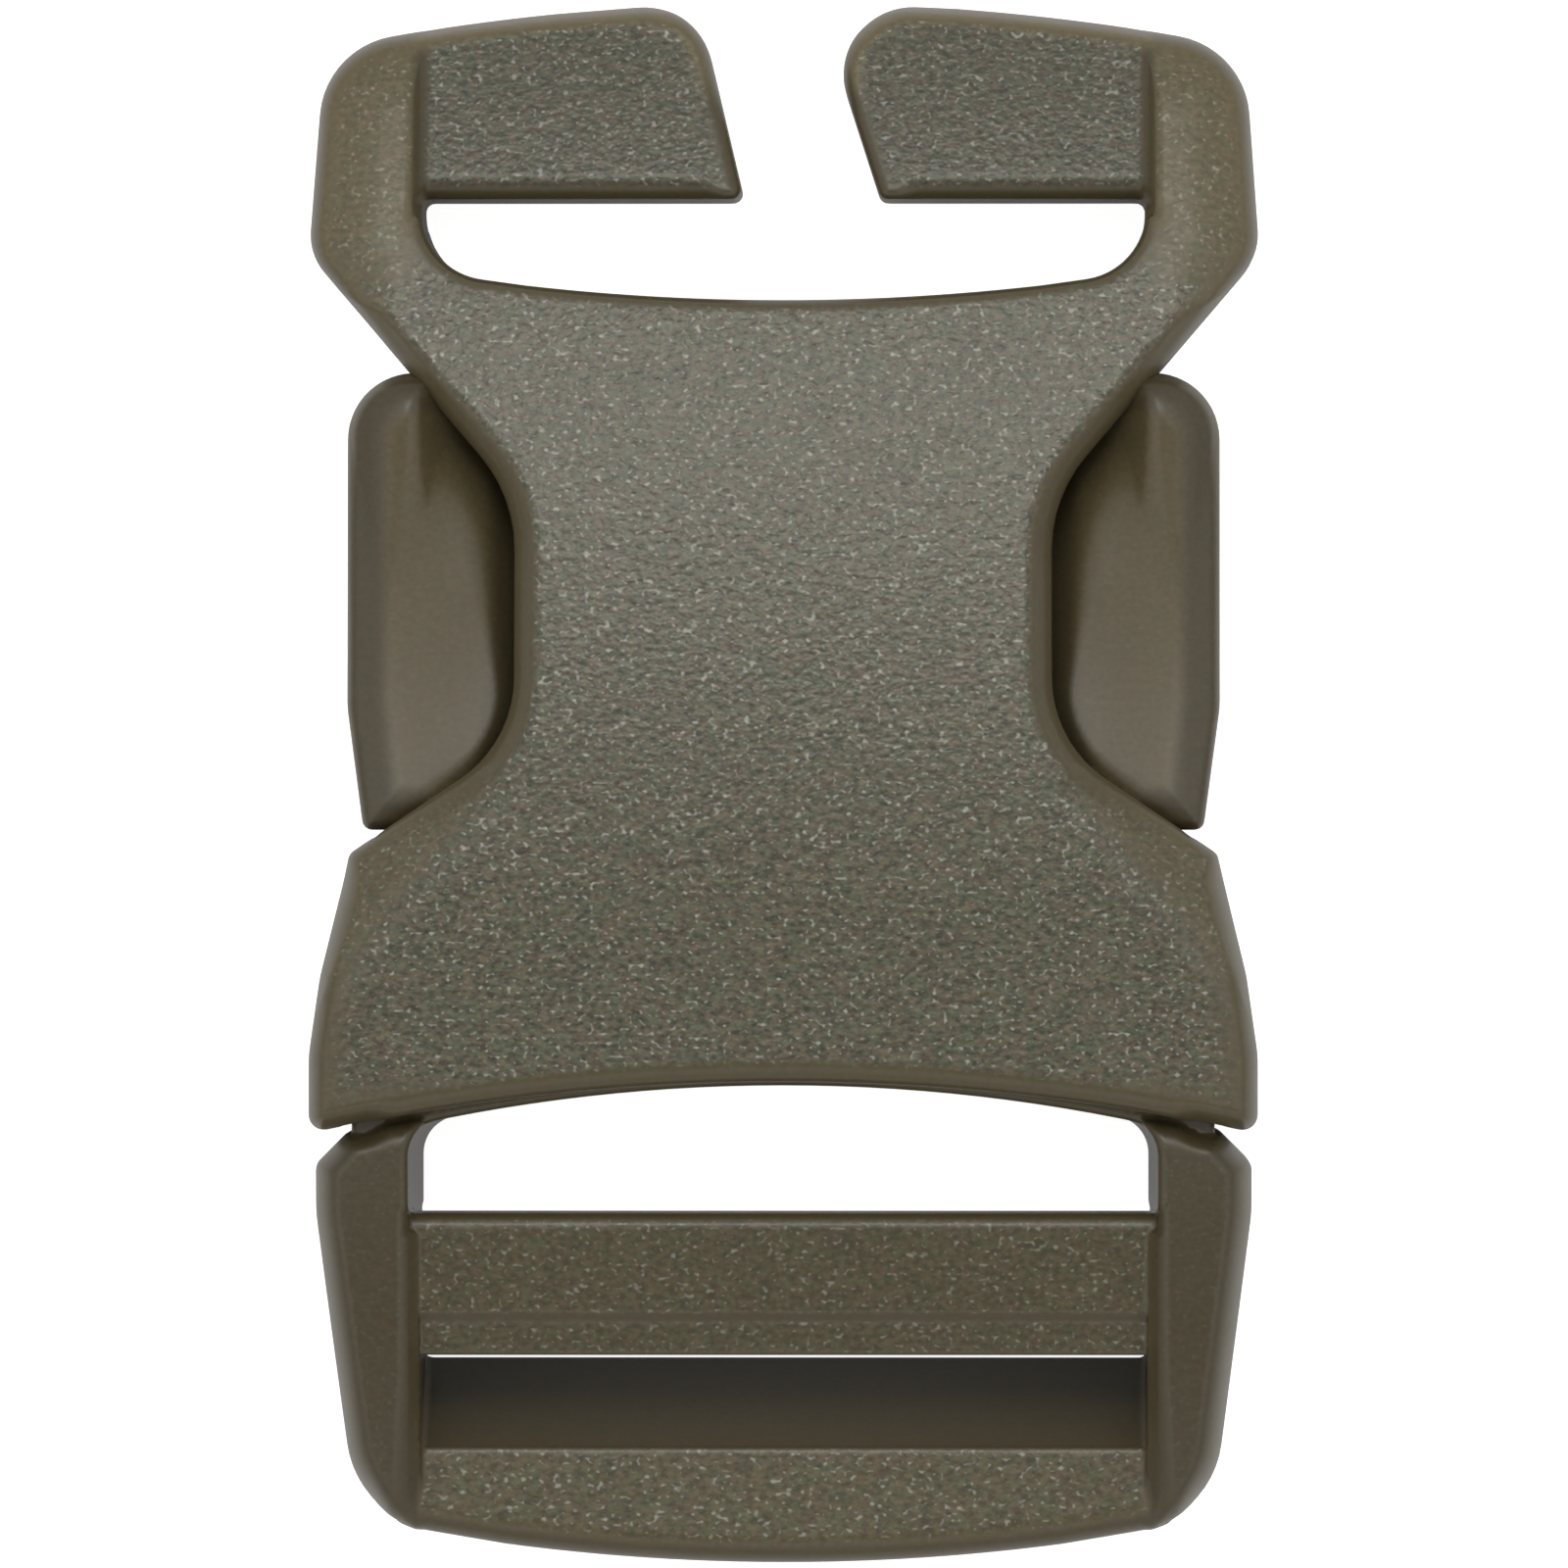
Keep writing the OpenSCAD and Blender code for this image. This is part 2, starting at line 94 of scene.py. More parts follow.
# The plug
SHOULDER_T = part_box("plug")[1].z / MM
TAIL_ARCH_R = 50.0
BUTTON_OUT = 2.25
BUTTON_L = 16.4
BUTTON_W = 6.5
RIDGE_W = 2.55
TAPER_L = 4.4
TAPER_IN = 0.6
PRONG_W = 2.6
TONGUE_W = 4.2
TONGUE_T = 3.6
TONGUE_L = 14.0
PLUG_IN = 0.2
TAIL_IN = 1.4
BASE_L = 3.5
BASE_SHOW = 0.15
WINDOW_H = 4.58
WINDOW_MORE = 0.13
LADDER_W = 5.17
LADDER_DROP = 0.8
LADDER_LIFT = 3.8
GRIP_W = 1.45
GRIP_STEP = 0.35
GRIP_FALL = 0.2
SLIT_W = 0.07
TAB_W = 7.38
TAB_SLOPE_W = 3.25
TAB_T = 6.75
TAB_FALL = 0.1

# The buttons' bevel, the scoop along their ridge and the hollow inside it
BUTTON_BEVEL_W = 1.2
BUTTON_TILT = math.radians(36)
SCOOP_Y = 6.5
SCOOP_L = 7.4
SCOOP_D = 0.6
DISH_Z = 7.8
DISH_Y = 9.0
DISH_R = 48.0
HOLLOW_Y = 13.0

# Radii of the long curves
TOP_BOW_R = 83.0
SLOT_BOW_R = 81.0
LIP_BOW_R = 78.0
BASE_BOW_R = 62.0
TAIL_BOW_R = 76.0

# Places along the buckle, and half widths
TOTAL_L = BAR_H + SLOT_H + PLATE_L + BASE_SHOW + WINDOW_H + LADDER_W + SLIT_W + TAB_W
TOP_Y = TOTAL_L / 2
BAR_Y = TOP_Y - BAR_H
SLOT_Y = BAR_Y - SLOT_H
LIP_Y = SLOT_Y - PLATE_L
BASE_Y = LIP_Y - BASE_SHOW
WINDOW_Y = BASE_Y - WINDOW_H
LADDER_Y = WINDOW_Y - LADDER_W
TAB_Y = LADDER_Y - SLIT_W
TAIL_Y = TAB_Y - TAB_W
CROWN_Y = LIP_Y + CROWN_IN
HIP_Y = BAR_Y - HIP_DROP
WAIST_Y = SLOT_Y - WAIST_TOP
SLOT_X = (WEBBING_W + WEBBING_PLAY) / 2
HIP_X = SLOT_X + RAIL_W
TOP_X = HIP_X - HIP_IN
WAIST_X = WAIST_W / 2
MOUTH_X = HIP_X - MOUTH_IN
TUNNEL_X = SLOT_X + TUNNEL_MORE
PRONG_X = TUNNEL_X - FIT
BUTTON_X = TUNNEL_X + BUTTON_OUT
PLUG_X = MOUTH_X - PLUG_IN
TAIL_X = PLUG_X - TAIL_IN
STEP_X = SLOT_X + STEP_IN
SHOULDER_X = MOUTH_X - SHOULDER_IN
SHOULDER_Y = LIP_Y + MOUTH_L
CATCH_Y = SHOULDER_Y + CATCH_RISE
BUTTON_Y = CATCH_Y + FIT
BUTTON_TOP_Y = BUTTON_Y + BUTTON_L
CAVITY_Y = BUTTON_TOP_Y + 2 * FIT


def bow(x, r):
    """Drop of a long shallow curve of radius r, at the distance x from its middle."""
    return r - math.sqrt(r * r - x * x)


FLARE_Y = LIP_Y - bow(TUNNEL_X, LIP_BOW_R) + LEAD_IN
CORNER_Y = BASE_Y - bow(SLOT_X, BASE_BOW_R)


# Outlines: lists of corners (x, y, radius)

def bowed(x0, x1, y, r, side, steps=24):
    """Corners of a long curve from x0 to x1 that bulges down where side is 1 and up where it is -1."""
    xs = [x0 + (x1 - x0) * i / steps for i in range(steps + 1)]
    return [(x, y + side * bow(x, r), 0) for x in xs]


def mirrored(corners):
    """The corners of the other side, in the order that takes the outline on."""
    return [(-x, y, r) for x, y, r in reversed(corners)]


def round_corner(before, here, after):
    """The corner here, rounded with its radius as far as its two edges allow."""
    b, r = np.array(here[:2]), here[2]
    u, v = np.array(before[:2]) - b, np.array(after[:2]) - b
    lu, lv = np.hypot(*u), np.hypot(*v)
    u, v = u / lu, v / lv
    inner = math.acos(max(-1, min(1, float(u @ v))))
    if r < 0.01 or inner > math.radians(179):
        return [tuple(b)]
    room = 0.98 * min(lu * r / (r + before[2]), lv * r / (r + after[2]))
    r = min(r, room * math.tan(inner / 2))
    middle = b + (u + v) / np.hypot(*(u + v)) * r / math.sin(inner / 2)
    start = b + u * r / math.tan(inner / 2) - middle
    sweep = (math.pi - inner) * math.copysign(1, u[1] * v[0] - u[0] * v[1])
    steps = max(3, math.ceil(abs(sweep) / math.radians(7)))
    turns = [sweep * k / steps for k in range(steps + 1)]
    return [(middle[0] + start[0] * math.cos(a) - start[1] * math.sin(a),
             middle[1] + start[0] * math.sin(a) + start[1] * math.cos(a)) for a in turns]


def rounded(corners):
    """The points of a closed outline, with its corners rounded."""
    n = len(corners)
    return [p for i in range(n) for p in round_corner(corners[i - 1], corners[i], corners[(i + 1) % n])]


class Outline:
    """Signed distance to a closed outline, below zero inside, looked up from a fine grid of it."""

    step = 0.08
    margin = 2.5

    def __init__(self, corners):
        points = np.array(rounded(corners), np.float32)
        self.low = points.min(0) - self.margin
        count = np.ceil((points.max(0) + self.margin - self.low) / self.step).astype(int) + 1
        u = (self.low[0] + self.step * np.arange(count[0], dtype=np.float32))[:, None]
        v = (self.low[1] + self.step * np.arange(count[1], dtype=np.float32))[None, :]
        nearest = np.full(count, 1e9, np.float32)
        inside = np.zeros(count, bool)
        for a, b in zip(points, np.roll(points, -1, 0)):
            e = b - a
            square = float(e @ e)
            if square < 1e-12:
                continue
            t = np.clip(((u - a[0]) * e[0] + (v - a[1]) * e[1]) / square, 0, 1)
            nearest = np.minimum(nearest, (u - a[0] - t * e[0]) ** 2 + (v - a[1] - t * e[1]) ** 2)
            if a[1] != b[1]:
                crosses = (a[1] > v) != (b[1] > v)
                inside ^= crosses & (u < a[0] + (v - a[1]) * e[0] / e[1])
        self.field = np.sqrt(nearest) * np.where(inside, -1, 1).astype(np.float32)

    def __call__(self, u, v):
        fu = np.clip((u - self.low[0]) / self.step, 0, self.field.shape[0] - 1.001)
        fv = np.clip((v - self.low[1]) / self.step, 0, self.field.shape[1] - 1.001)
        iu, iv = fu.astype(int), fv.astype(int)
        fu, fv = fu - iu, fv - iv
        low = self.field[iu, iv] * (1 - fu) + self.field[iu + 1, iv] * fu
        high = self.field[iu, iv + 1] * (1 - fu) + self.field[iu + 1, iv + 1] * fu
        return low * (1 - fv) + high * fv


# Solids as fields that are below zero inside, and what is done to them

def cut(a, b, r=0.0):
    """What a and b share, with the edge where they meet rounded to the radius r."""
    if np.ndim(r) == 0 and r == 0:
        return np.maximum(a, b)
    return np.minimum(np.maximum(a, b), -r) + np.hypot(np.maximum(a + r, 0), np.maximum(b + r, 0))


def join(a, b, r=0.0):
    """a and b together, with a fillet of radius r where they meet."""
    return -cut(-a, -b, r)


def carve(a, b, r=0.0):
    """a without b, with rounded edges."""
    return cut(a, -b, r)


def bend(a, b, width):
    """What a and b share, where they meet at a blunt angle, with a soft bend in place of the edge."""
    return np.maximum(a, b) + np.maximum(width - np.abs(a - b), 0) ** 2 / (4 * width)


def ease(v, low, high):
    """0 below low, 1 above high and a smooth step between."""
    t = np.clip((v - low) / (high - low), 0, 1)
    return t * t * (3 - 2 * t)


def mix(a, b, t):
    """a where t is 0, b where it is 1 and in proportion between."""
    return a + (b - a) * t


def arched(y, z, crown_y, crown_z, r, way):
    """Distance above a surface that is flat up to crown_y and then falls away as an arc, towards way."""
    past = np.maximum((y - crown_y) * way, 0)
    return np.hypot(past, z - crown_z + r) - r


def face_field(y, z):
    """Distance above the socket's face."""
    return arched(y, z, CROWN_Y, MOUTH_T, ARCH_R, 1)


def rail_field(y, z):
    """Distance above the upper side of the plug's rails."""
    return arched(y, z, LIP_Y, SHOULDER_T, TAIL_ARCH_R, -1)


def rail_height(y):
    """The height of the plug's rails at the place y."""
    return SHOULDER_T - bow(max(LIP_Y - y, 0), TAIL_ARCH_R)


# The socket

def split_x(y, side):
    """Where the gap in the split bar ends at the place y, on its right side (1) or its left one (-1)."""
    lean = math.tan(math.radians(SPLIT_SLANT + side * SPLIT_FLARE))
    return side * SPLIT_W / 2 + (BAR_Y + BAR_H / 2 - y) * lean


def socket_outside(top_left, top_right):
    """The socket's outer edge, clockwise from the place top_right of its upper edge round to top_left."""
    top_corner_r, hip_r, waist_r, neck_r = 3.1, 2.1, 5.2, 4.4
    shoulder_r, cheek_r, mouth_r = 0.45, 4, 1.3
    cheek_in, cheek_up = 0.41, 3.8
    arm_x, lip_x = TOP_X - 1.5 * top_corner_r, MOUTH_X - 1.5 * mouth_r
    flank = [
        (TOP_X, TOP_Y - bow(TOP_X, TOP_BOW_R), top_corner_r), (HIP_X, HIP_Y, hip_r),
        (WAIST_X, WAIST_Y, waist_r), (WAIST_X, WAIST_Y - WAIST_L, neck_r),
        (SHOULDER_X, SHOULDER_Y, shoulder_r), (MOUTH_X - cheek_in, LIP_Y + cheek_up, cheek_r),
        (MOUTH_X, LIP_Y + MOUTH_STRAIGHT, cheek_r), (MOUTH_X, LIP_Y - bow(MOUTH_X, LIP_BOW_R), mouth_r),
    ]
    return (
        bowed(top_right, arm_x, TOP_Y, TOP_BOW_R, -1)
        + flank
        + bowed(lip_x, -lip_x, LIP_Y, LIP_BOW_R, -1)
        + mirrored(flank)
        + bowed(-arm_x, top_left, TOP_Y, TOP_BOW_R, -1)
    )


def socket_corners():
    """The socket's whole outline, with the gap in its bar and the slot behind that."""
    arm_r, foot_r, slot_r = 2.5, 0.35, 2.5
    slot_corner_y = SLOT_Y + bow(SLOT_X, SLOT_BOW_R)
    floor_x = SLOT_X - 1.5 * slot_r
    right, left = split_x(TOP_Y, 1), split_x(TOP_Y, -1)
    return (
        [(right, TOP_Y, arm_r)]
        + socket_outside(left - 2 * arm_r, right + 2 * arm_r)
        + [(left, TOP_Y, arm_r), (split_x(BAR_Y, -1), BAR_Y, foot_r)]
        + [(-SLOT_X, BAR_Y, foot_r), (-SLOT_X, slot_corner_y, slot_r)]
        + bowed(-floor_x, floor_x, SLOT_Y, SLOT_BOW_R, 1)
        + [(SLOT_X, slot_corner_y, slot_r), (SLOT_X, BAR_Y, foot_r), (split_x(BAR_Y, 1), BAR_Y, foot_r)]
    )


socket_plan = Outline(socket_corners())
outer_plan = Outline(socket_outside(top_left=-0.1, top_right=0.1))

# The crease that runs from the lower end of the waist to the mouth's side
CREASE_START = np.array([WAIST_X + CREASE_OUT, SHOULDER_Y + CREASE_RISE])
CREASE_END = np.array([MOUTH_X - CREASE_IN, SHOULDER_Y - CREASE_FALL])


def crease_place(x, y):
    """Distance along the crease from its upper end, and distance outside it, in plan, on either side."""
    along = (CREASE_END - CREASE_START) / np.hypot(*(CREASE_END - CREASE_START))
    dx, dy = np.abs(x) - CREASE_START[0], y - CREASE_START[1]
    return dx * along[0] + dy * along[1], dy * along[0] - dx * along[1]


def shoulder_facet(x, y, face):
    """The facet that falls away outside the crease, and fades out above its upper end."""
    fade_start, fade = 0.3, 0.7
    along, outside = crease_place(x, y)
    lift = fade * np.maximum(fade_start - along, 0) ** 2
    return outside * math.sin(CREASE_TILT) + face * math.cos(CREASE_TILT) - lift


def socket_edge(x, y):
    """How the socket's upper edge is worked at each place of the plan: the width of its bevel, the
    rounding outside the bevel and how steep that is. A width below zero leaves no bevel."""
    rail_less, mouth_less, slot_less = 2.0, 1.3, 0.55
    plain_r, rail_more, mouth_more = 0.3, 0.2, 0.45
    ax = np.abs(x)
    top_corner = ease(y, TOP_Y - 3.725, TOP_Y - 1.925) * ease(ax, SLOT_X - 1, SLOT_X + 0.4)
    flank = np.maximum(ease(ax, SLOT_X + 1, SLOT_X + 2.4), top_corner)
    rail = flank * ease(y, HIP_Y - 2.6, HIP_Y + 0.4)
    mouth = 1 - ease(y, SHOULDER_Y - 1.2, SHOULDER_Y + 0.4)
    slot = ease(y, SLOT_Y - 1.725, SLOT_Y - 0.725) * (1 - ease(ax, SLOT_X, SLOT_X + 1))
    on_arm = (1 - ease(ax, STEP_X - 0.5, STEP_X + 0.3)) * ease(y, BAR_Y - 0.6, BAR_Y - 0.1)
    width = BEVEL_W - rail_less * rail - mouth_less * mouth - slot_less * slot
    outer = mix(plain_r + rail_more * rail + mouth_more * mouth, arm_edge(x, y), on_arm)
    rim = np.maximum(ease(ax, SLOT_X + 0.8, SLOT_X + 2), ease(y, TOP_Y - 4.625, TOP_Y - 2.625))
    return width, outer, 1 + RIM_STEEPER * rim


def rail_slope(x, y, face):
    """The broad bevel along the outside of the rails and of the split bar, which fades out below them."""
    fade = 1.1
    above = fade * (1 - ease(y, HIP_Y - 5, HIP_Y + 1))
    return (outer_plan(x, y) + RAIL_SLOPE_W) * math.sin(RAIL_TILT) + face * math.cos(RAIL_TILT) - above


def arm_edge(x, y):
    """Rounding of the arms' upper edges: soft, and sharper at their ends."""
    foot_r, top_r, end_r = 0.95, 0.65, 0.45
    soft = mix(foot_r, top_r, ease(y, BAR_Y + 1.5, TOP_Y - 2.5))
    from_end = np.minimum(np.abs(x - split_x(y, 1)), np.abs(x - split_x(y, -1)))
    return mix(soft, end_r, 1 - ease(from_end, 0.6, 1.6))


def socket_hollow(x, y, z):
    """The hollow that takes the plug: the tunnel, the room behind the buttons and the flared mouth."""
    layer = np.maximum(face_field(y, z) + WALL, WALL - z)
    ax = np.abs(x)
    flare = np.clip(FLARE_Y + FIT - y, 0, LEAD_IN)
    tunnel = np.maximum(ax - TUNNEL_X - flare, y - CAVITY_Y)
    room = np.maximum(CATCH_Y - y, y - CAVITY_Y)
    return np.maximum(np.minimum(tunnel, room), layer)


def socket_field(x, y, z):
    """The whole socket: its worked upper side, the steps beside its arms, its rims and its hollow."""
    bevel_r, crease_r, step_foot_r, step_r, sole_r, hollow_r = 0.2, 0.45, 0.25, 0.2, 0.5, 0.15
    slope_bend, before_bar = 0.3, 0.6
    edge = socket_plan(x, y)
    face = face_field(y, z)
    width, outer, steep = socket_edge(x, y)
    bevel = (edge + width) * math.sin(BEVEL_TILT) + face * math.cos(BEVEL_TILT)
    top = cut(bevel, bend(rail_slope(x, y, face), face, slope_bend), bevel_r)
    top = cut(top, shoulder_facet(x, y, face), crease_r)
    step = np.abs(x) - SLOT_X - STEP_DRAFT * np.maximum(face + BAR_DROP, 0)
    ends = BAR_Y - before_bar - y
    top = carve(top, cut(np.maximum(step, ends), -face - BAR_DROP, step_foot_r), step_r)
    body = cut(cut(top, edge * steep, outer * steep), -z, sole_r)
    beneath = np.maximum(np.maximum(np.abs(x) - SLOT_X, ends), z - BAR_LIFT)
    body = carve(body, beneath, sole_r)
    return carve(body, socket_hollow(x, y, z), hollow_r)


# The plug

def frame_corners():
    """The outside of the plug's frame, from the socket's lip to the tail."""
    chamfer, shoulder_r, chamfer_r, bend_r, tail_corner_r = 1.15, 0.5, 0.9, 6, 3.6
    shoulder_y = LIP_Y - FIT - bow(PLUG_X - chamfer, LIP_BOW_R)
    side = [
        (PLUG_X - chamfer, shoulder_y, shoulder_r), (PLUG_X, shoulder_y - chamfer, chamfer_r),
        (PLUG_X, WINDOW_Y, bend_r), (TAIL_X, TAIL_Y + bow(TAIL_X, TAIL_BOW_R), tail_corner_r),
    ]
    top_end, tail_end = PLUG_X - 2 * chamfer, TAIL_X - 1.5 * tail_corner_r
    return (
        bowed(-top_end, top_end, LIP_Y - FIT, LIP_BOW_R, -1) + side
        + bowed(tail_end, -tail_end, TAIL_Y, TAIL_BOW_R, 1) + mirrored(side)
    )


def window_corners():
    """The room between the plug's rails, which goes on past the tail."""
    window_r, past = 1.2, 1
    right = [(SLOT_X, CORNER_Y, window_r), (SLOT_X, TAIL_Y - past, 0)]
    return right + mirrored(right)


def base_corners():
    """The base bar in the socket's mouth, whose lower edge is the window's upper one."""
    over = 1
    right = [
        (PRONG_X, BASE_Y + BASE_L, 0), (PRONG_X, FLARE_Y, 0), (PRONG_X + LEAD_IN, FLARE_Y - LEAD_IN, 0),
        (PRONG_X + LEAD_IN, CORNER_Y - over, 0), (SLOT_X, CORNER_Y, 0),
    ]
    return right + bowed(SLOT_X - over, over - SLOT_X, BASE_Y, BASE_BOW_R, -1) + mirrored(right)


def prong_corners():
    """The right prong, which starts inside the base bar, and its button."""
    catch_r, taper_r, button_r = 0.35, 3.5, 2.4
    over, neck_l = 1, 1
    foot_y = BASE_Y + BASE_L - over
    return [
        (PRONG_X, foot_y, 0), (PRONG_X, BUTTON_Y, catch_r),
        (BUTTON_X - TAPER_IN, BUTTON_Y, catch_r), (BUTTON_X, BUTTON_Y + TAPER_L, taper_r),
        (BUTTON_X, BUTTON_TOP_Y, button_r), (BUTTON_X - BUTTON_W, BUTTON_TOP_Y, button_r),
        (BUTTON_X - BUTTON_W, BUTTON_Y + TAPER_L, taper_r), (PRONG_X - PRONG_W, BUTTON_Y - neck_l, taper_r),
        (PRONG_X - PRONG_W, foot_y, 0),
    ]


def ladder_corners():
    """The ladder bar seen from the side, with the step of its grip."""
    beneath_r, back_r, step_r, step_foot_r, front_r, half_step = 0.6, 0.5, 0.3, 0.4, 0.15, 0.16
    grip_y = LADDER_Y + GRIP_W
    grip_z = rail_height(grip_y) - LADDER_DROP
    return [
        (WINDOW_Y, LADDER_LIFT, beneath_r), (WINDOW_Y, rail_height(WINDOW_Y) - LADDER_DROP, back_r),
        (grip_y + half_step, grip_z, step_r), (grip_y - half_step, grip_z - GRIP_STEP, step_foot_r),
        (LADDER_Y, grip_z - GRIP_STEP - GRIP_FALL, front_r), (grip_y, LADDER_LIFT, beneath_r),
    ]


def tab_corners():
    """The tab bar seen from the side, which goes on past the tail."""
    foot_r, slope_r, past = 0.2, 0.25, 2
    return [
        (TAB_Y, BAR_LIFT, foot_r), (TAB_Y - TAB_SLOPE_W, TAB_T, slope_r),
        (TAIL_Y, TAB_T - TAB_FALL, 0), (TAIL_Y - past, TAB_T - TAB_FALL, 0), (TAIL_Y - past, BAR_LIFT, 0),
    ]


frame_plan = Outline(frame_corners())
window_plan = Outline(window_corners())
base_plan = Outline(base_corners())
prong_plan = Outline(prong_corners())
ladder_side = Outline(ladder_corners())
tab_side = Outline(tab_corners())

PRONG_Z = WALL + FIT
PRONG_TOP_Z = MOUTH_T - PRONG_Z
RIDGE_X = BUTTON_X - RIDGE_W
BAR_EDGE_R = 0.3


def slab(z, low, high):
    """All that lies between two heights."""
    return np.maximum(low - z, z - high)


def frame_rails(x, y, z):
    """The plug's two rails, with steep rims outside and drafted walls inside."""
    rim_r, shoulder_rim_r, sole_r, wall_r = 1.0, 0.85, 0.4, 0.3
    window_draft, past_window, draft_depth = 0.03, 0.6, 0.8
    ladder_out, tab_out, ladder_draft, tab_draft = 0.75, 0.54, 0.88, 0.6
    edge = frame_plan(x, y)
    top = rail_field(y, z)
    rim = mix(rim_r, shoulder_rim_r, ease(y, LIP_Y - 3.6, LIP_Y - 2))
    steep = 1 + RIM_STEEPER * ease(np.abs(x), SLOT_X + 1, SLOT_X + 2)
    body = cut(cut(edge * steep, top, rim * steep), -z, sole_r)
    sides = window_plan(x, y) - WINDOW_MORE - window_draft * z
    window = np.maximum(sides, WINDOW_Y - past_window - y)
    between = np.maximum(np.abs(x) - SLOT_X + 1, WINDOW_Y - y)
    body = carve(body, np.minimum(window, between), wall_r)
    at_tab = ease(y, TAB_Y - 4.5, TAB_Y + 1)
    draft = mix(ladder_draft, tab_draft, at_tab)
    wall = mix(ladder_out, tab_out, at_tab) - draft * np.clip(-top, 0, draft_depth)
    beside_bars = np.maximum(np.abs(x) - SLOT_X - wall, y - WINDOW_Y)
    return carve(body, beside_bars, wall_r)


def base_bar(x, y, z):
    """The bar in the socket's mouth, from which the prongs and the tongue spring."""
    return cut(base_plan(x, y), slab(z, PRONG_Z, PRONG_TOP_Z), BAR_EDGE_R)


def prong_field(x, y, z):
    """The right prong: a springy arm that ends in a button, which is scooped for the finger."""
    ridge_r, dish_r, rim_r, sole_r, rim_steep = 0.3, 0.5, 0.4, 0.5, 2.2
    top_lean, low_lean, wall_drop = 35, 68, 0.1
    low_reach, top_reach, valley_fall = 0.6, 2.8, 0.65
    top_wall_r, low_wall_r, top_foot_r, low_foot_r = 0.3, 0.6, 0.6, 0.9
    edge = prong_plan(x, y)
    ridge_top = z - PRONG_TOP_Z + SCOOP_D * np.clip(1 - ((y - SCOOP_Y) / SCOOP_L) ** 2, 0, 1)
    bevel = (edge + BUTTON_BEVEL_W) * math.sin(BUTTON_TILT) + ridge_top * math.cos(BUTTON_TILT)
    low_end = 1 - ease(y, SCOOP_Y, HOLLOW_Y)
    lean = np.radians(mix(top_lean, low_lean, low_end))
    wall = (RIDGE_X - x) * np.cos(lean) + (ridge_top + wall_drop) * np.sin(lean)
    ridge = cut(cut(bevel, ridge_top, ridge_r), wall, mix(top_wall_r, low_wall_r, low_end))
    ceiling = face_field(y, z) + WALL + FIT
    reach = mix(low_reach, top_reach, ease(y, 1, HOLLOW_Y))
    valley = valley_fall * reach * np.clip(1 - socket_plan(x, y) / reach, 0, 1) ** 2
    dish = z - (DISH_Z + np.maximum(DISH_Y - y, 0) ** 2 / (2 * DISH_R) - valley)
    body = join(ridge, cut(ceiling, dish, dish_r), mix(top_foot_r, low_foot_r, low_end))
    body = cut(body, edge * rim_steep, rim_r * rim_steep)
    return cut(body, PRONG_Z - z, sole_r)


def tongue_field(x, y, z):
    """The guide tongue in the middle, which starts inside the base bar."""
    over = 1
    ends = np.maximum(BASE_Y + over - y, y - BASE_Y - TONGUE_L)
    sides = np.maximum(np.abs(x) - TONGUE_W / 2, ends)
    return cut(sides, slab(z, (MOUTH_T - TONGUE_T) / 2, (MOUTH_T + TONGUE_T) / 2), BAR_EDGE_R)


def ladder_bar(x, y, z):
    """The ladder bar, whose ends go on into the rails."""
    into_rail = 0.4
    return np.maximum(ladder_side(y, z), np.abs(x) - STEP_X - into_rail)


def tab_bar(x, y, z):
    """The tab bar, whose lower part goes on into the rails."""
    tail_r, into_rail, drop = 1.0, 0.6, 1.2
    body = cut(tab_side(y, z), frame_plan(x, y), tail_r)
    out = np.abs(x) - STEP_X
    ends = np.minimum(out, np.maximum(out - into_rail, z - TAB_T + drop))
    return np.maximum(body, ends)


def plug_field(x, y, z):
    """The whole plug, with a fillet where each part meets the rest."""
    base_r, prong_r, tongue_r, ladder_r, tab_r = 0.2, 0.3, 0.4, 0.1, 0.25
    body = join(frame_rails(x, y, z), base_bar(x, y, z), base_r)
    body = join(body, prong_field(np.abs(x), y, z), prong_r)
    body = join(body, tongue_field(x, y, z), tongue_r)
    body = join(body, ladder_bar(x, y, z), ladder_r)
    return join(body, tab_bar(x, y, z), tab_r)


# Meshes from the fields

GRID = 0.16
TRIANGLE_LIMIT = 190000
NET_CORNERS = np.array([(i, j, k) for i in (0, 1) for j in (0, 1) for k in (0, 1)])
NET_EDGES = [(a, b) for a in range(8) for b in range(a + 1, 8)
             if np.abs(NET_CORNERS[a] - NET_CORNERS[b]).sum() == 1]


def slope_of(field, p, step=0.05):
    """The field's value at the points p, and its slope there."""
    value = field(*p.T)
    around = [field(*(p + step * e).T) - field(*(p - step * e).T) for e in np.eye(3)]
    return value, np.stack(around, 1) / (2 * step)


def settle(field, p, times):
    """Moves the points p onto the field's surface, by one grid cell at most each time."""
    least_square = 0.25
    for _ in range(times):
        value, slope = slope_of(field, p)
        square = np.maximum((slope * slope).sum(1), least_square)
        move = -(value / square)[:, None] * slope
        length = np.maximum(np.linalg.norm(move, axis=1, keepdims=True), 1e-9)
        p = p + move * np.minimum(1, GRID / length)
    return p


